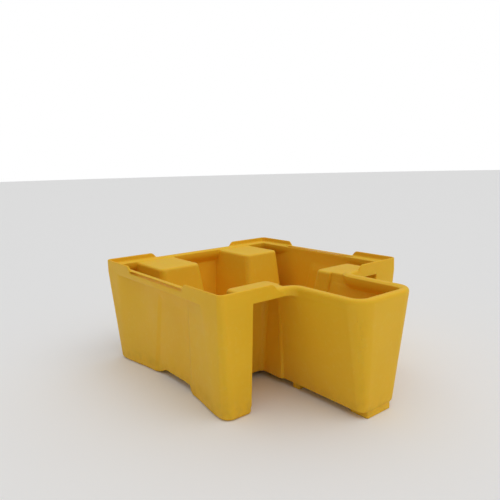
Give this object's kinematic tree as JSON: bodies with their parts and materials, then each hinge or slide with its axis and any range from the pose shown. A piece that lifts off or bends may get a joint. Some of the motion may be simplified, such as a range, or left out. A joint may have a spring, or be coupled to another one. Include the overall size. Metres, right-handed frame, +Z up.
{
  "type": "spill containment pallet",
  "caption": "Moulded spill pallet: an open sump tub with flat pedestals that carry a bulk container, and a narrow dispensing bay reaching out in front under its tap.",
  "frame": {"origin": "on the ground, at the middle of the outline of the tub and bay together", "axes": "+Z up, -Y towards the dispensing bay, +X to the right as seen from the bay"},
  "size_m": [1.47, 2.001, 0.726],
  "materials": {
    "shell": "rotationally moulded polyethylene in safety yellow, smooth with a soft satin sheen"
  },
  "bodies": {
    "root": {"dispensing_bay": "shell", "throat_floor": "shell", "sump_floor": "shell", "back_wall": "shell", "front_left_corner": "shell", "front_right_corner": "shell", "back_left_corner": "shell", "back_right_corner": "shell", "left_side_wall": "shell", "right_side_wall": "shell"}
  },
  "joints": []
}
